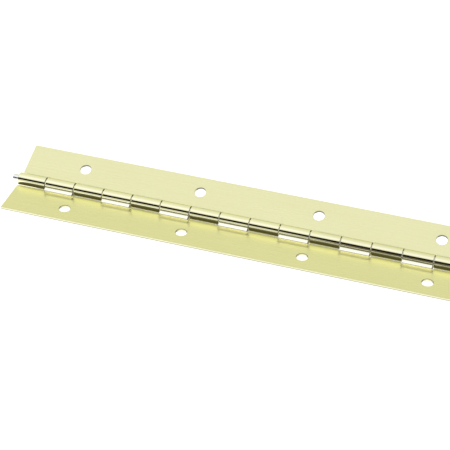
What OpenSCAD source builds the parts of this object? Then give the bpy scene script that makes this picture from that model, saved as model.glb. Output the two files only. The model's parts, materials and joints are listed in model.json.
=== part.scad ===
// Piano hinge (continuous hinge): two long brass-plated leaves whose curled
// knuckles take turns along one steel pin.
//
// Frame: +X runs along the pin and +Z points out of the front leaf on the side
// of the barrel. The origin is the centre of the front leaf's row of screw
// holes, on its mounting face. The front leaf lies flat and the rear leaf is
// raised from flat by rest_fold.

/* [Leaves] */
// Number of knuckles on each leaf, an even number
knuckles_per_leaf = 12; // [4:2:24]
// Length of one knuckle together with its gap
knuckle_pitch = 12.7; // [12:0.1:16]
// Distance from the pin's axis to a leaf's free edge
leaf_w = 19.05; // [16:0.05:32]
// Thickness of the sheet
sheet_t = 1; // [0.9:0.05:1.1]
// Angle that the rear leaf is raised from flat
rest_fold = 20; // [0:1:60]

/* [Pin] */
// Diameter of the pin
pin_d = 3.2; // [3:0.1:3.4]
// Radial gap between the pin and the knuckles
pin_play = 0.1; // [0.02:0.01:0.1]
// How far the pin stands out of the left end
pin_stub = 2.4; // [0.5:0.1:4]
// How far the pin stops short of the right end
pin_recess = 0.8; // [0:0.1:2]
// Width of the chamfer round each end of the pin
pin_chamfer = 0.3; // [0.1:0.05:0.5]

/* [Knuckles] */
// Gap between neighbouring knuckles
knuckle_gap = 0.4; // [0.2:0.05:0.6]
// How far the end knuckles are set back from the leaves' ends
end_set_back = 0.5; // [0:0.1:1]
// Gap between a leaf's notched edge and the other leaf's knuckles
notch_gap = 0.12; // [0.1:0.02:0.5]
// How far the slits at the notch corners run on past the notched edge
slit_len = 0.8; // [0.3:0.1:1.5]
// Angle above the leaf at which the curled sheet turns out into its lip
lip_start = 3; // [2:1:20]
// Slope of the lip, down towards the leaf
lip_slope = 30; // [28:1:38]
// Length of the lip
lip_len = 1.5; // [1:0.05:1.5]

/* [Screw holes] */
// Diameter of a screw hole
hole_d = 4.7; // [3.5:0.1:5]
// Distance from the pin's axis to the row of holes
hole_row = 11.7; // [8:0.1:12]

/* [Hidden] */

$fn = 96;
PITCHES_PER_HOLE = 4;
LAST_KNUCKLE = 2 * knuckles_per_leaf - 1;
OVERLAP = 0.5;
LIP_ROOT_ANGLE = 20;
BRASS = [0.85, 0.83, 0.60];
STEEL = [0.78, 0.79, 0.80];

hinge_len = 2 * knuckles_per_leaf * knuckle_pitch;
hole_pitch = PITCHES_PER_HOLE * knuckle_pitch;
holes_per_leaf = hinge_len / hole_pitch;

bore_r = pin_d / 2 + pin_play;
barrel_r = bore_r + sheet_t;
// Distance from the pin's axis, along the leaf, to the notched edge: its
// nearer corner is level with the sheet's inner face, which is bore_r down.
notch_y = sqrt(pow(barrel_r + notch_gap, 2) - pow(bore_r, 2));

// Left end of knuckle number i, counted from 0 at the left end of the hinge
function knuckle_start(i) =
    i * knuckle_pitch - hinge_len / 2 + (i == 0 ? end_set_back : knuckle_gap / 2);

// Right end of knuckle number i
function knuckle_end(i) =
    (i + 1) * knuckle_pitch - hinge_len / 2
    - (i == LAST_KNUCKLE ? end_set_back : knuckle_gap / 2);

// Moves a shape from the pin's own frame to the hinge's frame
module at_pin() {
    translate([0, hole_row, barrel_r]) children();
}

// Stands a shape drawn in the plane across the pin upright, and runs it along
// X from x0 to x1. The shape's first axis becomes Y and its second becomes Z.
module along_pin(x0, x1) {
    translate([x0, 0, 0])
        rotate([90, 0, 90])
            linear_extrude(height = x1 - x0)
                children();
}

// Outline of a leaf's flat sheet, seen from above, from its free edge to its
// notched edge. The leaf runs to -Y from the pin's axis. Its own knuckles are
// every second one from number `first`, with a slit at each side of each tab.
module sheet_outline(first) {
    difference() {
        translate([-hinge_len / 2, -leaf_w])
            square([hinge_len, leaf_w - notch_y]);
        for (i = [first : 2 : LAST_KNUCKLE]) {
            if (i > 0) corner_slit(knuckle_start(i) - knuckle_gap);
            if (i < LAST_KNUCKLE) corner_slit(knuckle_end(i));
        }
        for (i = [0 : holes_per_leaf - 1])
            translate([(i + 0.5) * hole_pitch - hinge_len / 2, -hole_row])
                circle(d = hole_d);
    }
}

// One slit in the notched edge, as wide as the gap between two knuckles
module corner_slit(x) {
    translate([x, -notch_y - slit_len])
        square([knuckle_gap, slit_len + OVERLAP]);
}

// Section of a knuckle and its tab: the sheet runs in flat under the pin, curls
// up the far side, over the top and down the near side, and ends in a straight
// lip. The tab overlaps the flat sheet, so that the two fuse.
module knuckle_section() {
    reach = 3 * barrel_r;
    tab = notch_y + OVERLAP;
    difference() {
        union() {
            circle(r = barrel_r);
            translate([-tab, -barrel_r]) square([tab, barrel_r]);
        }
        circle(r = bore_r);
        polygon([
            [0, 0],
            near_side(reach, lip_start),
            [-reach, -bore_r],
            [0, -bore_r]
        ]);
    }
    lip_section();
}

// A vector of length r from the pin's axis towards the near side of the barrel,
// raised by an angle above the leaf
function near_side(r, angle) = r * [-cos(angle), sin(angle)];

// Section of the lip, from the crease on the barrel to the sheared end. Its
// outline reaches back into the middle of the barrel's wall, so the two fuse.
module lip_section() {
    crease = near_side(barrel_r, lip_start);
    tip = crease + lip_len * [-cos(lip_slope), -sin(lip_slope)];
    inward = sheet_t * [sin(lip_slope), -cos(lip_slope)];
    polygon([
        crease,
        tip,
        tip + inward,
        crease + inward,
        near_side(bore_r, lip_start),
        near_side((bore_r + barrel_r) / 2, lip_start + LIP_ROOT_ANGLE)
    ]);
}

// One leaf in the pin's own frame, lying flat and running to -Y
module leaf(first) {
    translate([0, 0, -barrel_r])
        linear_extrude(height = sheet_t)
            sheet_outline(first);
    for (i = [first : 2 : LAST_KNUCKLE])
        along_pin(knuckle_start(i), knuckle_end(i))
            knuckle_section();
}

module front_leaf() {
    color(BRASS)
        at_pin()
            leaf(1);
}

module rear_leaf() {
    color(BRASS)
        at_pin()
            rotate([rest_fold, 0, 0])
                mirror([0, 1, 0])
                    leaf(0);
}

module hinge_pin() {
    x0 = -hinge_len / 2 - pin_stub;
    x1 = hinge_len / 2 - pin_recess;
    r = pin_d / 2;
    color(STEEL)
        at_pin()
            translate([x0, 0, 0])
                rotate([90, 0, 90])
                    rotate_extrude()
                        polygon([
                            [0, 0],
                            [r - pin_chamfer, 0],
                            [r, pin_chamfer],
                            [r, x1 - x0 - pin_chamfer],
                            [r - pin_chamfer, x1 - x0],
                            [0, x1 - x0]
                        ]);
}

front_leaf();
rear_leaf();
hinge_pin();
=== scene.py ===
import json
import math
from itertools import accumulate

import bpy
import bmesh
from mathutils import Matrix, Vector
from mathutils.geometry import delaunay_2d_cdt


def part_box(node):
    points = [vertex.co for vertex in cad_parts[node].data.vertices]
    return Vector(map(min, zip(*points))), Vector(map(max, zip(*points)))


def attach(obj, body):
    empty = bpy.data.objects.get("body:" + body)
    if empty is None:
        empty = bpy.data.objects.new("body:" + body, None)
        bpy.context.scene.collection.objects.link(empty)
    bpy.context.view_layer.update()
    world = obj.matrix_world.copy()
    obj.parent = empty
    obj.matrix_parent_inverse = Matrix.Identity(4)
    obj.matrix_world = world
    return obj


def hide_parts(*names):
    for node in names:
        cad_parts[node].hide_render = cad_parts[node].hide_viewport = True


# Looks of the piano hinge. Each leaf is built as the real one is: a flat blank with slits,
# tabs and screw holes, whose tabs are then curled round the pin. Sizes are in metres.

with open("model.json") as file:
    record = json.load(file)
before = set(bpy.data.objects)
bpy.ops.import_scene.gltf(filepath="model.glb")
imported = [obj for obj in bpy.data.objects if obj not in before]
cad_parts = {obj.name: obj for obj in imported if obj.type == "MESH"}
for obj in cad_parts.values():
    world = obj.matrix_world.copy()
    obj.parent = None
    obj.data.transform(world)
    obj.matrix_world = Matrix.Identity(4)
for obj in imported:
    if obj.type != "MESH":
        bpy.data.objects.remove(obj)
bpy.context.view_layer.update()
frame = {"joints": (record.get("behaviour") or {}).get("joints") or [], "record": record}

MM = 0.001

# ---- Driving dimensions that the frame doesn't state ----
KNUCKLES = 24
SHEET_T = 1.0 * MM
KNUCKLE_GAP = 0.4 * MM
END_SET_BACK = 0.5 * MM
NOTCH_GAP = 0.12 * MM
SLIT_LEN = 0.8 * MM
LIP_START = math.radians(3)
LIP_SLOPE = math.radians(30)
LIP_LEN = 1.5 * MM
PIN_CHAMFER = 0.3 * MM

# ---- How finely and how softly the sheet is modelled ----
RIM = 0.1 * MM            # radius of the rounding along sheared edges
RIM_STEPS = 3
CORNER_R = 0.25 * MM      # radius of the blank's outer corners
SLIT_CORNER_R = 0.12 * MM
CORNER_STEPS = 5
CREASE_R = 0.3 * MM       # radius of the bend between barrel and lip
HOLE_STEPS = 72
CURL_STEP = math.radians(3)
COLUMNS = 10              # strips across a knuckle
BASE_RISE = 0.4 * MM      # from the notched edge to a tab's first row
FACE_ON = 0.999           # beyond this, a rim's normal is that of the sheet's face
PIN_STEPS = 96
PIN_SHARP_ANGLE = math.radians(40)
PIN_MERGE = 1e-7          # closer points of the turned pin are one point

# ---- Measures read from the frame ----
RECORD = frame["record"]
FRONT_LOW, FRONT_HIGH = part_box("front_leaf")
PIN_LOW, PIN_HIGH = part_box("hinge_pin")
FOLD_JOINT = next(j for j in frame["joints"] if j["name"] == "leaf_fold")
AXIS_Y, AXIS_Z = FOLD_JOINT["pos_m"][1:]
HINGE_LEN = FRONT_HIGH.x - FRONT_LOW.x
PITCH = HINGE_LEN / KNUCKLES
LEAF_W = AXIS_Y - FRONT_LOW.y
BARREL_R = AXIS_Z - FRONT_LOW.z
BORE_R = BARREL_R - SHEET_T
PIN_R = (PIN_HIGH.z - PIN_LOW.z) / 2
NOTCH_S = LEAF_W - math.sqrt((BARREL_R + NOTCH_GAP) ** 2 - BORE_R ** 2)


def mount(name):
    """The record's mount of that name."""
    return next(m for m in RECORD["mounts"] if m["name"] == name)


def rest_fold():
    """Angle that the rear leaf is raised from flat, from its mounting face's normal."""
    _, y, z = mount("rear_mounting_face")["axis"]
    return math.atan2(y, -z)


def hole_rows():
    """(positions along X, radius, distance from the pin) of one leaf's screw holes."""
    pairs = [m for m in RECORD["mounts"] if m["name"].startswith("front_screws")]
    half = [m["dims"]["spacing_x_mm"] * MM / 2 for m in pairs]
    radius = pairs[0]["dims"]["hole_r_mm"] * MM
    return sorted([-h for h in half] + half), radius, AXIS_Y - pairs[0]["pos_m"][1]


# ---- The bent sheet ----

class SheetPath:
    """The outer face of the bent sheet, in the plane (y, z) across the pin, about its axis.

    A distance s runs along it from the leaf's free edge. The sheet is flat to LEAF_W, curls
    round the barrel to curl_end, bends back to lip_start and is straight from there to length.
    """

    def __init__(self):
        self.slope = math.pi + LIP_SLOPE
        along = Vector((math.cos(self.slope), math.sin(self.slope)))
        outward = Vector((math.sin(self.slope), -math.cos(self.slope)))
        crease = BARREL_R * Vector((-math.cos(LIP_START), math.sin(LIP_START)))
        self.bend_centre = touching_barrel(crease + CREASE_R * outward, along)
        self.turned = math.atan2(self.bend_centre.x, -self.bend_centre.y) % math.tau
        self.lip_root = self.bend_centre - CREASE_R * outward
        self.lip = (crease + LIP_LEN * along - self.lip_root).dot(along)
        self.curl_end = LEAF_W + BARREL_R * self.turned
        self.lip_start = self.curl_end + CREASE_R * (self.turned - self.slope)
        self.length = self.lip_start + self.lip

    def heading(self, s):
        """Direction of travel at s, past the flat, as an angle from the flat's own."""
        if s <= self.curl_end:
            return (s - LEAF_W) / BARREL_R
        if s <= self.lip_start:
            return self.turned - (s - self.curl_end) / CREASE_R
        return self.slope

    def at(self, s):
        """(point, direction of travel, direction into the sheet) at s."""
        if s <= LEAF_W:
            return Vector((s - LEAF_W, -BARREL_R)), Vector((1, 0)), Vector((0, 1))
        angle = self.heading(s)
        travel = Vector((math.cos(angle), math.sin(angle)))
        inward = Vector((-math.sin(angle), math.cos(angle)))
        if s <= self.curl_end:
            return -BARREL_R * inward, travel, inward
        if s <= self.lip_start:
            return self.bend_centre + CREASE_R * inward, travel, inward
        return self.lip_root + (s - self.lip_start) * travel, travel, inward

    def tab_rows(self):
        """Distances at which a tab's faces are divided, from its root towards its tip."""
        rows = [NOTCH_S + BASE_RISE, LEAF_W]
        rows += divided(LEAF_W, self.curl_end, math.ceil(self.turned / CURL_STEP))
        rows += divided(self.curl_end, self.lip_start, CORNER_STEPS)
        rows.append(self.lip_start + self.lip / 2)
        return rows


def touching_barrel(near, along):
    """Centre of the crease's bend: it slides along the lip from `near` to touch the barrel."""
    half_b = near.dot(along)
    c = near.length_squared - (BARREL_R + CREASE_R) ** 2
    return near + along * (math.sqrt(half_b ** 2 - c) - half_b)


def divided(start, end, steps):
    """The ends of equal steps from start to end."""
    return [start + (end - start) * i / steps for i in range(1, steps + 1)]


# ---- The flat blank: its outline in the plane (x, s), s from the free edge ----

def knuckle_span(i):
    """Left and right end of knuckle i, counted from the hinge's left end."""
    left = END_SET_BACK if i == 0 else KNUCKLE_GAP / 2
    right = END_SET_BACK if i == KNUCKLES - 1 else KNUCKLE_GAP / 2
    start = FRONT_LOW.x + i * PITCH
    return start + left, start + PITCH - right


def rounded(corners):
    """Outline points (x, s, normal) of a closed run of corners (x, s, radius), each rounded."""
    points = []
    for i, (x, s, radius) in enumerate(corners):
        here = Vector((x, s))
        into = (here - Vector(corners[i - 1][:2])).normalized()
        out = (Vector(corners[(i + 1) % len(corners)][:2]) - here).normalized()
        n0 = Vector((into.y, -into.x))
        n1 = Vector((out.y, -out.x))
        if radius == 0:
            points.append((here, n0))
            continue
        turn = math.copysign(1, into.x * out.y - into.y * out.x)
        centre = here - turn * radius * (n0 + n1)
        for k in range(CORNER_STEPS + 1):
            a = k / CORNER_STEPS * math.pi / 2
            n = (n0 * math.cos(a) + n1 * math.sin(a)).normalized()
            points.append((centre + turn * radius * n, n))
    return points


def blank_corners(first, rows, length):
    """Corners of a leaf's outline, anticlockwise, and where each tab's rows start in them.

    first is 0 or 1, for the leaf that has the hinge's leftmost knuckle or the one that hasn't.
    A tab's two numbers are those of its first row's right corner and its last row's left one.
    """
    left, right = FRONT_LOW.x, FRONT_HIGH.x
    corners = [(left, 0, CORNER_R), (right, 0, CORNER_R), (right, NOTCH_S, CORNER_R)]
    tabs = []
    for i in range(KNUCKLES - 2 + first, -1, -2):
        x0, x1 = knuckle_span(i)
        corners += slit(x1, KNUCKLE_GAP) if i < KNUCKLES - 1 else [(x1, NOTCH_S, SLIT_CORNER_R)]
        up = len(corners)
        corners += [(x1, s, 0) for s in rows]
        corners += [(x1, length, CORNER_R), (x0, length, CORNER_R)]
        down = len(corners)
        corners += [(x0, s, 0) for s in reversed(rows)]
        tabs.append((up, down))
        corners += slit(x0, -KNUCKLE_GAP) if i > 0 else [(x0, NOTCH_S, SLIT_CORNER_R)]
    corners.append((left, NOTCH_S, CORNER_R))
    return corners, tabs


def slit(x, width):
    """Corners of one slit in the notched edge, walked from right to left.

    A positive width is a slit to the right of a tab's side at x, and a negative one to its left.
    """
    far, end = x + width, NOTCH_S - SLIT_LEN
    corners = [(far, NOTCH_S, SLIT_CORNER_R), (far, end, SLIT_CORNER_R), (x, end, SLIT_CORNER_R)]
    return corners if width > 0 else corners[::-1]


def circle_outline(x, s, radius):
    """Outline of a hole, clockwise, with normals that point into the hole."""
    points = []
    for k in range(HOLE_STEPS):
        a = -math.tau * k / HOLE_STEPS
        n = Vector((math.cos(a), math.sin(a)))
        points.append((Vector((x, s)) + radius * n, -n))
    return points


# ---- Turning the blank into a solid, curled leaf ----

def rim_profile():
    """(inset, height, tilt) of each ring up a sheared edge, from the outer face to the inner.

    tilt is the angle of the ring's normal: -90 degrees on the outer face, 90 on the inner.
    """
    low = []
    for k in range(RIM_STEPS + 1):
        a = k / RIM_STEPS * math.pi / 2
        low.append((RIM * (1 - math.sin(a)), RIM * (1 - math.cos(a)), a - math.pi / 2))
    high = [(inset, SHEET_T - height, -tilt) for inset, height, tilt in reversed(low)]
    return low + high


def curl_share(s):
    """0 on the flat of a leaf, rising to 1 on its curl, which curling has burnished."""
    return min(max((s - LEAF_W) / BARREL_R, 0.0), 1.0)


LIP_HIGHLIGHT_FADE = 4.0            # the lip's painted highlight comes in over its first quarter
KNUCKLEWARD = 0.5         # an outline's normal points at the knuckles if its s is above this


def lip_highlight_share(s, length):
    """0 up to the crease and 1 on the lip, which is painted pale as a painted highlight."""
    return min(max((s - length) / LIP_LEN + 1.0, 0.0) * LIP_HIGHLIGHT_FADE, 1.0)


def on_notch(point, normal2d):
    """Whether a point of the outline faces the knuckles: on the notched edge or a slit's end."""
    return normal2d.y > KNUCKLEWARD and point.y < LEAF_W


class LeafBuilder:
    """Gathers the vertices, normals and faces of one leaf.

    flat holds each vertex's place on the blank in millimetres, for the triangulation.
    """

    def __init__(self, rear):
        self.rear = rear
        self.fold = rest_fold() if rear else 0
        self.path = SheetPath()
        self.rows = self.path.tab_rows()
        self.co, self.normals, self.flat, self.faces = [], [], [], []
        self.masks = {"sheared": [], "torn": [], "curled": [], "lip": []}

    def place(self, y, z):
        """A vector across the pin, turned from the front leaf's side to this leaf's."""
        if not self.rear:
            return y, z
        c, s = math.cos(self.fold), math.sin(self.fold)
        return -y * c - z * s, -y * s + z * c

    def mask(self, **values):
        """Notes the newest vertex's place on the sheet, which the material reads."""
        for name, value in values.items():
            self.masks[name].append(value)

    def vertex(self, point, normal2d, height, tilt, torn):
        """Adds the blank's point at that height in the sheet, and returns its number."""
        spot, travel, inward = self.path.at(point.y)
        side, face = math.cos(tilt), math.sin(tilt)
        across = spot + inward * height
        n = travel * (side * normal2d.y) + inward * face
        y, z = self.place(across.x, across.y)
        ny, nz = self.place(n.x, n.y)
        self.co.append((point.x, AXIS_Y + y, AXIS_Z + z))
        self.normals.append((side * normal2d.x, ny, nz))
        # The notched edge and the slits' ends are dark over their whole height: painted shade in
        # the gap under the other leaf's barrel.
        self.mask(
            sheared=float(abs(face) <= FACE_ON),
            torn=float(torn or on_notch(point, normal2d)),
            curled=curl_share(point.y),
            lip=lip_highlight_share(point.y, self.path.length))
        self.flat.append(point / MM)
        return len(self.co) - 1

    def face(self, numbers):
        """Adds a face, whose order is turned round on the mirrored leaf."""
        self.faces.append(tuple(reversed(numbers)) if self.rear else tuple(numbers))

    def walls(self, outline, torn_inside=False):
        """The sheared edge along one outline. Returns its outer and inner rings.

        Half of a sheared edge's height is torn and painted dark, partly as the real fracture band
        and partly as painted shade: the half at the outer face, or, for an edge torn inside, the
        half at the inner face.
        """
        rings = []
        for inset, height, tilt in rim_profile():
            torn = (height > SHEET_T / 2) == torn_inside
            rings.append([self.vertex(p - inset * n, n, height, tilt, torn) for p, n in outline])
        for lower, upper in zip(rings, rings[1:]):
            for i, j in zip(range(len(outline)), list(range(1, len(outline))) + [0]):
                self.face((lower[i], lower[j], upper[j], upper[i]))
        return rings[0], rings[-1]

    def strip(self, right, left):
        """A row of vertices across a tab, from its right side to its left."""
        a, b = Vector(self.co[right]), Vector(self.co[left])
        row = [right]
        for k in range(1, COLUMNS):
            self.co.append(tuple(a.lerp(b, k / COLUMNS)))
            self.normals.append(self.normals[right])
            self.mask(
                sheared=0.0, torn=0.0, curled=self.masks["curled"][right],
                lip=self.masks["lip"][right])
            self.flat.append(self.flat[right].lerp(self.flat[left], k / COLUMNS))
            row.append(len(self.co) - 1)
        return row + [left]


def build_leaf(name, first, rear):
    """One leaf: the blank's walls, then its plate and curled tabs on the outer and inner side."""
    b = LeafBuilder(rear)
    corners, tabs = blank_corners(first, b.rows, b.path.length)
    outline = rounded(corners)
    starts = list(accumulate([CORNER_STEPS + 1 if c[2] else 1 for c in corners], initial=0))
    xs, radius, distance = hole_rows()
    holes = [circle_outline(x, LEAF_W - distance, radius) for x in xs]
    outer_rings = b.walls(outline)
    hole_rings = [b.walls(h, torn_inside=True) for h in holes]
    for layer, tilt in ((0, -1), (1, 1)):
        ring = outer_rings[layer]
        plate, cursor = [], 0
        for up, down in tabs:
            first_right = starts[up]
            last_left = starts[down + len(b.rows) - 1]
            plate += ring[cursor:first_right]
            plate += tab_faces(b, ring, starts, up, down, tilt)
            cursor = last_left + 1
        plate += ring[cursor:]
        fill_plate(b, plate, [r[layer] for r in hole_rings], tilt)
    return leaf_object(name, b)


def tab_faces(b, ring, starts, up, down, tilt):
    """Faces of one tab's outer or inner side. Returns its first row, from right to left.

    tilt is -1 for the outer side and 1 for the inner side.
    """
    count = len(b.rows)
    rows = []
    for k in range(count):
        right = ring[starts[up + k]]
        left = ring[starts[down + count - 1 - k]]
        rows.append(b.strip(right, left))
    for lower, upper in zip(rows, rows[1:]):
        for i in range(COLUMNS):
            quad = (lower[i], upper[i], upper[i + 1], lower[i + 1])
            b.face(quad if tilt > 0 else quad[::-1])
    tip = ring[starts[up + count]:starts[down]]
    end = tip + list(reversed(rows[-1]))
    b.face(end if tilt > 0 else end[::-1])
    return rows[0]


WHOLE_HULL = 0            # delaunay_2d_cdt's output type: every triangle of the convex hull
CLOSEST_POINTS = 1e-6     # in millimetres, as the builder's flat places are
OUTLINE_ONLY = [0]        # the loops round a triangle that is in the outline and in no hole


def fill_plate(b, outer, holes, tilt):
    """Triangles over the flat part of one side, inside its outline and outside its holes."""
    numbers = list(outer)
    loops = [list(range(len(outer)))]
    for hole in holes:
        loops.append([len(numbers) + i for i in reversed(range(len(hole)))])
        numbers += hole
    flat = [b.flat[n] for n in numbers]
    result = delaunay_2d_cdt(flat, [], loops, WHOLE_HULL, CLOSEST_POINTS, True)
    _, _, triangles, sources, _, owners = result
    for triangle, loops_round_it in zip(triangles, owners):
        if list(loops_round_it) != OUTLINE_ONLY:
            continue
        tri = [numbers[sources[v][0]] for v in triangle]
        b.face(tri if tilt > 0 else tri[::-1])


def leaf_object(name, b):
    """The mesh object of a finished builder, with its exact normals."""
    mesh = bpy.data.meshes.new(name)
    mesh.from_pydata(b.co, [], b.faces)
    mesh.validate()
    mesh.shade_smooth()
    mesh.normals_split_custom_set_from_vertices(b.normals)
    for mask, values in b.masks.items():
        mesh.attributes.new(mask, "FLOAT", "POINT").data.foreach_set("value", values)
    mesh.update()
    return add_object(name, mesh)


def add_object(name, data):
    """A new object in the scene with that data."""
    obj = bpy.data.objects.new(name, data)
    bpy.context.scene.collection.objects.link(obj)
    return obj


def mesh_from(name, bm):
    """A new mesh with the bmesh's contents, which frees the bmesh."""
    mesh = bpy.data.meshes.new(name)
    bm.to_mesh(mesh)
    bm.free()
    return mesh


# ---- The pin ----

def build_pin(name):
    """The pin, turned about its axis from a profile with a rounded chamfer at each end."""
    x0, x1 = PIN_LOW.x, PIN_HIGH.x
    profile = [(x0, 0.0)]
    profile += pin_end(x0, 1)
    profile += reversed(pin_end(x1, -1))
    profile.append((x1, 0.0))
    bm = bmesh.new()
    verts = [bm.verts.new((x, AXIS_Y, AXIS_Z + r)) for x, r in profile]
    edges = [bm.edges.new(pair) for pair in zip(verts, verts[1:])]
    bmesh.ops.spin(
        bm, geom=verts + edges, cent=(0, AXIS_Y, AXIS_Z), axis=(1, 0, 0),
        angle=math.tau, steps=PIN_STEPS, use_merge=True)
    bmesh.ops.remove_doubles(bm, verts=bm.verts, dist=PIN_MERGE)
    bmesh.ops.recalc_face_normals(bm, faces=bm.faces)
    mesh = mesh_from(name, bm)
    mesh.shade_smooth()
    mesh.set_sharp_from_angle(angle=PIN_SHARP_ANGLE)
    return add_object(name, mesh)


def pin_end(x, inward):
    """Profile points (x, radius) from an end's flat to the pin's side."""
    points = []
    for k in range(CORNER_STEPS + 1):
        a = k / CORNER_STEPS * math.pi / 2
        r = PIN_R - PIN_CHAMFER * (1 - math.sin(a))
        points.append((x + inward * PIN_CHAMFER * (1 - math.cos(a)), r))
    return points


# ---- Materials ----

MIX_FACTOR, MIX_A, MIX_B, MIX_RESULT = 0, 6, 7, 2    # a Mix node's sockets for colours
BUMP_DEPTH = 0.01 * MM


class Graph:
    """Small helper for building a node tree."""

    def __init__(self, tree):
        self.tree = tree
        tree.nodes.clear()

    def node(self, kind, inputs=None, **settings):
        n = self.tree.nodes.new("ShaderNode" + kind)
        for key, value in settings.items():
            setattr(n, key, value)
        for key, value in (inputs or {}).items():
            self.feed(n, key, value)
        return n

    def feed(self, n, key, value):
        """Links an input to a socket, or sets it to a plain value."""
        socket = n.inputs[key]
        if isinstance(value, bpy.types.NodeSocket):
            self.tree.links.new(value, socket)
        else:
            socket.default_value = value

    def math(self, operation, a, b=0.0):
        return self.node("Math", {0: a, 1: b}, operation=operation).outputs[0]

    def plus(self, a, b):
        return self.math("ADD", a, b)

    def times(self, a, b):
        return self.math("MULTIPLY", a, b)

    def less(self, a, b):
        return self.math("LESS_THAN", a, b)

    def rest(self, share):
        """What is left of 1 when a share is taken."""
        return self.math("SUBTRACT", 1.0, share)

    def between(self, share, a, b):
        """The number a where share is 0, and b where it is 1."""
        return self.plus(self.times(a, self.rest(share)), self.times(b, share))

    def span(self, value, low, high, out_low=0.0, out_high=1.0):
        """value mapped smoothly from low..high to out_low..out_high."""
        inputs = {"Value": value, "From Min": low, "From Max": high}
        inputs.update({"To Min": out_low, "To Max": out_high})
        n = self.node("MapRange", inputs, interpolation_type="SMOOTHSTEP")
        return n.outputs["Result"]

    def mix(self, factor, a, b, blend="MIX"):
        """The colour a where factor is 0, and b blended over it where factor is 1."""
        inputs = {MIX_FACTOR: factor, MIX_A: a, MIX_B: b}
        n = self.node("Mix", inputs, data_type="RGBA", blend_type=blend)
        return n.outputs[MIX_RESULT]

    def axes(self, vector):
        """The X, Y and Z outputs of a vector."""
        return self.node("SeparateXYZ", {0: vector}).outputs

    def geometry(self, output):
        return self.node("NewGeometry").outputs[output]

    def light_path(self, output):
        return self.node("LightPath").outputs[output]

    def attribute(self, name):
        return self.node("Attribute", attribute_name=name).outputs["Fac"]

    def grain(self, scale, detail, along=1.0):
        """Noise about 0.5, of `scale` features per metre, drawn out along X by 1 / along."""
        place = self.node("TexCoord").outputs["Object"]
        drawn = self.node("Mapping", {"Vector": place, "Scale": (along, 1.0, 1.0)})
        inputs = {"Vector": drawn.outputs["Vector"], "Scale": scale, "Detail": detail}
        return self.node("TexNoise", inputs).outputs["Fac"]

    def bump(self, height, strength):
        """A normal with fine relief."""
        inputs = {"Strength": strength, "Distance": BUMP_DEPTH, "Height": height}
        return self.node("Bump", inputs).outputs["Normal"]

    def finish(self, inputs):
        """Ends the tree of a surface in one Principled shader."""
        shader = self.node("BsdfPrincipled", inputs)
        self.node("OutputMaterial", {"Surface": shader.outputs["BSDF"]})


def new_material(name):
    """A new material and the graph that builds it."""
    mat = bpy.data.materials.new(name)
    mat.use_nodes = True
    return mat, Graph(mat.node_tree)


def colour(r, g, b):
    return (r, g, b, 1.0)


def grey(value):
    return colour(value, value, value)


BRASS = colour(0.84, 0.82, 0.48)
BRASS_DULL = colour(0.78, 0.76, 0.40)
BURNISHED_BRASS = colour(0.90, 0.88, 0.58)
# The lip's pale colour is a painted highlight.
LIP_HIGHLIGHT_BRASS = colour(0.92, 0.91, 0.78)
SHEARED_BRASS = colour(0.86, 0.84, 0.55)
# Dark torn half of a sheared edge: partly the real fracture band, partly painted shade along the
# edge.
TORN_AND_SHADED_BRASS = colour(0.30, 0.29, 0.24)
KNUCKLE_END_SHADE = colour(0.16, 0.15, 0.12)     # painted shade on the knuckles' ends, which face each other across the gaps
FRONT_LEAF_IN_BARREL = colour(0.10, 0.09, 0.035)
REAR_LEAF_IN_BARREL = colour(0.62, 0.60, 0.33)
WIRE_BRIGHT = grey(0.93)
WIRE_DULL = grey(0.78)
CAVITY_GLOW = 0.36        # light that one more reflection would bring between curl and leaf
WIRE_GLOW = CAVITY_GLOW / 2

# Grains: features per metre, detail and scale along X. Spans: the part of a grain's or a
# mask's range that is mapped. Roughnesses: the least and the most.
ROLLING_LINES = (2600, 2, 0.004)
HAIRLINES = (6000, 1, 0.002)
CLOUDS = (90, 3, 0.4)
DRAWING_LINES = (6000, 3, 0.02)
WIRE_CLOUDS = (900, 3)
CLOUD_SPAN = (0.35, 0.68)
DRAWING_SPAN = (0.35, 0.7)
GRAIN_SPAN = (0.3, 0.7)
TORN_AND_SHADED_SPAN = (0.6, 0.85)
SATIN_ROUGHNESS = (0.26, 0.38)
BURNISHED_ROUGHNESS = (0.05, 0.11)
WIRE_ROUGHNESS = (0.16, 0.28)
SHEARED_ROUGHNESS = 0.15  # added on sheared edges

CLOUDS_IN_TINT = 0.5
DULL_SHARE = 0.35         # of the dull brass where the tint is full
HAIRS_IN_RELIEF = 0.4
SHEET_RELIEF = 0.1
WIRE_RELIEF = 0.2


def leaves_in_barrel(g, base, curled):
    """The base colour, but darker where a mirrored ray meets the flat of a leaf.

    A ray that travels towards -Y meets the front leaf, and the others meet the rear leaf.
    """
    flat = g.times(g.rest(curled), g.light_path("Is Glossy Ray"))
    to_front = g.math("GREATER_THAN", g.axes(g.geometry("Incoming"))["Y"], 0.0)
    return g.mix(flat, base, g.mix(to_front, REAR_LEAF_IN_BARREL, FRONT_LEAF_IN_BARREL))


def sheet_colour(g, lines, curled):
    """Colour of the sheet's faces: clouded when flat, burnished on the curl, and painted pale on
    the lip as a painted highlight.
    """
    tint = g.span(g.between(CLOUDS_IN_TINT, lines, g.grain(*CLOUDS)), *CLOUD_SPAN)
    base = g.mix(g.times(tint, DULL_SHARE), BRASS, BRASS_DULL)
    base = leaves_in_barrel(g, base, curled)
    base = g.mix(curled, base, BURNISHED_BRASS)
    return g.mix(g.attribute("lip"), base, LIP_HIGHLIGHT_BRASS)


def edge_colour(g, curled, end_on):
    """Colour of sheared edges: dark on their torn half, partly a real fracture band and partly
    painted shade, and painted shade on the ends of the knuckles.
    """
    torn = g.span(g.attribute("torn"), *TORN_AND_SHADED_SPAN)
    edge = g.mix(torn, SHEARED_BRASS, TORN_AND_SHADED_BRASS)
    return g.mix(g.times(end_on, curled), edge, KNUCKLE_END_SHADE)


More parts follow.
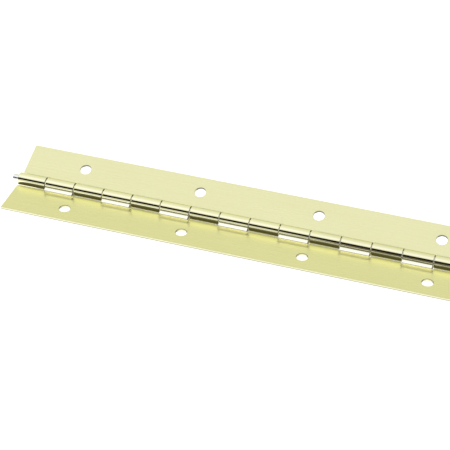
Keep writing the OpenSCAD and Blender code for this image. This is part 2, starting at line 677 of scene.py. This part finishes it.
def sheet_roughness(g, hairs, curled, sheared):
    """Satin when flat, burnished on the curl, and rougher on sheared edges."""
    satin = g.span(hairs, *GRAIN_SPAN, *SATIN_ROUGHNESS)
    burnished = g.span(hairs, *GRAIN_SPAN, *BURNISHED_ROUGHNESS)
    return g.plus(g.between(curled, satin, burnished), g.times(sheared, SHEARED_ROUGHNESS))


def cavity_glow(g, curled, sheared, end_on):
    """Glow of the curled sheet, which grows with the number of reflections a ray has made.

    The camera sees it directly only on sheared edges.
    """
    face = g.times(curled, g.rest(end_on))
    return g.times(face, g.times(g.plus(g.light_path("Ray Depth"), sheared), CAVITY_GLOW))


def brass_material():
    """Bright brass plate: fine rolling lines along X, faint clouding, duller sheared edges whose
    dark torn half is partly painted shade, painted shade on the knuckles' ends and a painted
    highlight on the lips.
    """
    mat, g = new_material("leaf_brass")
    lines, hairs = g.grain(*ROLLING_LINES), g.grain(*HAIRLINES)
    curled, sheared = g.attribute("curled"), g.attribute("sheared")
    end_on = g.math("ABSOLUTE", g.axes(g.geometry("Normal"))["X"])
    base = g.mix(sheared, sheet_colour(g, lines, curled), edge_colour(g, curled, end_on))
    g.finish({
        "Base Color": base,
        "Metallic": 1.0,
        "Roughness": sheet_roughness(g, hairs, curled, sheared),
        "Normal": g.bump(g.between(HAIRS_IN_RELIEF, lines, hairs), SHEET_RELIEF),
        "Emission Color": base,
        "Emission Strength": cavity_glow(g, curled, sheared, end_on),
    })
    return mat


def wire_material():
    """Bright drawn wire: drawing lines along X and clouded roughness."""
    mat, g = new_material("pin_wire")
    lines = g.grain(*DRAWING_LINES)
    base = g.mix(g.span(lines, *DRAWING_SPAN), WIRE_BRIGHT, WIRE_DULL)
    g.finish({
        "Base Color": base,
        "Metallic": 1.0,
        "Roughness": g.span(g.grain(*WIRE_CLOUDS), *GRAIN_SPAN, *WIRE_ROUGHNESS),
        "Normal": g.bump(lines, WIRE_RELIEF),
        "Emission Color": base,
        "Emission Strength": g.times(g.light_path("Ray Depth"), WIRE_GLOW),
    })
    return mat


FLOOR_WHITE = 0.35
FLOOR_GLOW = 0.85         # lit from below, like a light table, so that it casts back no shadow
DARK_FLOOR_GLOW = 0.05    # where a mirrored ray meets it in front of the pin or below
FAR_FLOOR_SLOPE = 0.25    # a ray that falls more gently than this meets the floor far off
SHADED_FLOOR = 30 * MM    # how far behind the pin the floor below is still dark
FLOOR_DROP = 20 * MM      # room for the rear leaf to fold below flat
PAPER_GRAIN = (400, 2)
PAPER_ROUGHNESS = (0.85, 0.95)


def dark_floor(g):
    """1 where a mirrored ray meets a part of the floor that the barrel shows dark, and 0 elsewhere.

    Such a ray comes gently down in front of the pin, or from in front to the floor below.
    """
    at = g.axes(g.geometry("Position"))
    back = g.axes(g.geometry("Incoming"))
    behind_pin = g.math("SUBTRACT", at["Y"], AXIS_Y)
    far_off = g.times(g.less(back["Z"], FAR_FLOOR_SLOPE), g.less(behind_pin, 0.0))
    below = g.times(g.less(back["Y"], 0.0), g.less(behind_pin, SHADED_FLOOR))
    beside = g.less(g.math("ABSOLUTE", at["X"]), HINGE_LEN / 2)
    mirrored = g.times(beside, g.light_path("Is Glossy Ray"))
    return g.times(mirrored, g.math("MAXIMUM", far_off, below))


def floor_material():
    """White paper, lit from below."""
    mat, g = new_material("paper")
    g.finish({
        "Base Color": grey(FLOOR_WHITE),
        "Roughness": g.span(g.grain(*PAPER_GRAIN), *GRAIN_SPAN, *PAPER_ROUGHNESS),
        "Emission Color": grey(1.0),
        "Emission Strength": g.span(dark_floor(g), 0.0, 1.0, FLOOR_GLOW, DARK_FLOOR_GLOW),
    })
    return mat


# ---- The studio ----

# Light by its angle about the hinge's length: 0 is level towards -Y, 90 is overhead and 180
# is level towards +Y. The camera sits in the dark stretch, as a camera does in a light tent.
STUDIO_LIGHT = [
    (-90, (0.75, 0.75, 0.75)),
    (0, (0.78, 0.78, 0.74)),
    (20, (0.78, 0.77, 0.68)),
    (23, (0.01, 0.01, 0.01)),
    (52, (0.01, 0.01, 0.01)),
    (55, (0.95, 0.95, 0.93)),
    (78, (1.14, 1.15, 1.22)),
    (90, (1.12, 1.13, 1.22)),
    (100, (1.00, 1.01, 1.06)),
    (125, (0.91, 0.92, 0.86)),
    (140, (0.86, 0.87, 0.65)),
    (180, (0.80, 0.82, 0.60)),
]
PEAK_LIGHT = 1.6
SECOND_LIGHT = (0.85, 0.87, 0.75)   # what a reflection of a reflection sees
RIGHT_END = (-0.235, -0.185)        # the tent dims where rays head this little to the left
BEYOND_RIGHT = (-0.13, -0.05)       # and brightens again from here
RIGHT_DIM = 0.96
CAMERA_STRETCH = 23       # below this angle, the dim end of the tent is nearly black
LOW_RIGHT_DIM = (0.16, 0.13, 0.09)
TENT_LIGHT = 1.35         # even light that falls on dull surfaces
FULL_TURN = 360
RAMP_START = -90          # the studio light's first angle, in degrees
FIRST_REFLECTION = 2.5    # the world's Ray Depth is below this in a first reflection


def light(r, g, b):
    """A light's colour as a share of the world's strength."""
    return colour(r / PEAK_LIGHT, g / PEAK_LIGHT, b / PEAK_LIGHT)


def even_light(value):
    return light(value, value, value)


def position_on_ramp(degrees):
    """Where an angle about the hinge's length lies on the studio light's ramp, from 0 to 1."""
    return (degrees - RAMP_START) / FULL_TURN


def fill_ramp(ramp, stops):
    """Puts stops of (degrees, colour) on a ramp."""
    while len(ramp.elements) > 1:
        ramp.elements.remove(ramp.elements[0])
    for k, (degrees, rgb) in enumerate(stops):
        position = position_on_ramp(degrees)
        element = ramp.elements[0] if k == 0 else ramp.elements.new(position)
        element.position = position
        element.color = light(*rgb)


def studio_light(g, axes):
    """What a first reflection sees: the studio light's ramp, dimmed towards the right end."""
    angle = g.math("ARCTAN2", axes["Z"], g.times(axes["Y"], -1.0))
    turn = g.plus(g.math("DIVIDE", angle, math.tau), position_on_ramp(0))
    ramp = g.node("ValToRGB", {"Fac": turn})
    fill_ramp(ramp.color_ramp, STUDIO_LIGHT)
    right = g.math("SUBTRACT", g.span(axes["X"], *RIGHT_END), g.span(axes["X"], *BEYOND_RIGHT))
    low = g.less(turn, position_on_ramp(CAMERA_STRETCH))
    dimmed = g.mix(low, grey(RIGHT_DIM), colour(*LOW_RIGHT_DIM))
    shade = g.mix(right, grey(1.0), dimmed)
    return g.mix(1.0, ramp.outputs["Color"], shade, blend="MULTIPLY")


def light_the_world():
    """A soft tent of light for reflections, seen as plain white by the camera itself."""
    world = bpy.data.worlds.new("studio")
    bpy.context.scene.world = world
    world.use_nodes = True
    g = Graph(world.node_tree)
    first = studio_light(g, g.axes(g.node("TexCoord").outputs["Generated"]))
    again = g.math("GREATER_THAN", g.light_path("Ray Depth"), FIRST_REFLECTION)
    seen = g.mix(again, first, light(*SECOND_LIGHT))
    seen = g.mix(g.light_path("Is Diffuse Ray"), seen, even_light(TENT_LIGHT))
    seen = g.mix(g.light_path("Is Camera Ray"), seen, even_light(1.0))
    background = g.node("Background", {"Color": seen, "Strength": PEAK_LIGHT})
    g.node("OutputWorld", {"Surface": background.outputs[0]})


FLOOR_SIZE = 6.0
FLOOR_CELLS = 8


def lay_floor():
    """A pale floor under the hinge."""
    bm = bmesh.new()
    bmesh.ops.create_grid(
        bm, x_segments=FLOOR_CELLS, y_segments=FLOOR_CELLS, size=FLOOR_SIZE / 2)
    floor = add_object("floor", mesh_from("floor", bm))
    floor.location.z = FRONT_LOW.z - FLOOR_DROP
    floor.data.materials.append(floor_material())


CAMERA_AZIMUTH = math.radians(18.75)     # round from -Y towards +X
CAMERA_ELEVATION = math.radians(36.45)
CAMERA_DISTANCE = 727.5 * MM
CAMERA_LENS = 144.3                      # on a 36 mm sensor
CAMERA_CLIP = 50 * MM
LOOK_AT = Vector((-60.35 * MM, AXIS_Y - 3.54 * MM, AXIS_Z))


def towards_camera():
    """Direction from the point looked at to the camera."""
    level = math.cos(CAMERA_ELEVATION)
    x = math.sin(CAMERA_AZIMUTH) * level
    y = -math.cos(CAMERA_AZIMUTH) * level
    return Vector((x, y, math.sin(CAMERA_ELEVATION)))


def place_camera():
    """The camera above the front leaf's side, looking at the left half of the hinge."""
    data = bpy.data.cameras.new("camera")
    data.lens = CAMERA_LENS
    data.clip_start = CAMERA_CLIP
    camera = add_object("camera", data)
    camera.location = LOOK_AT + CAMERA_DISTANCE * towards_camera()
    camera.rotation_euler = (math.pi / 2 - CAMERA_ELEVATION, 0, CAMERA_AZIMUTH)
    bpy.context.scene.camera = camera


# ---- Putting it together ----


def dress(obj, node, body, material):
    """Hands a piece its material, hides the node it stands for and attaches it to its body."""
    obj.data.materials.append(material)
    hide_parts(node)
    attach(obj, body)


def main():
    brass = brass_material()
    dress(build_leaf("front_leaf_sheet", 1, False), "front_leaf", "front_leaf", brass)
    dress(build_leaf("rear_leaf_sheet", 0, True), "rear_leaf", "rear_leaf", brass)
    dress(build_pin("hinge_pin_wire"), "hinge_pin", "pin", wire_material())
    lay_floor()
    light_the_world()
    place_camera()
    bpy.context.scene.view_settings.view_transform = "Standard"


main()
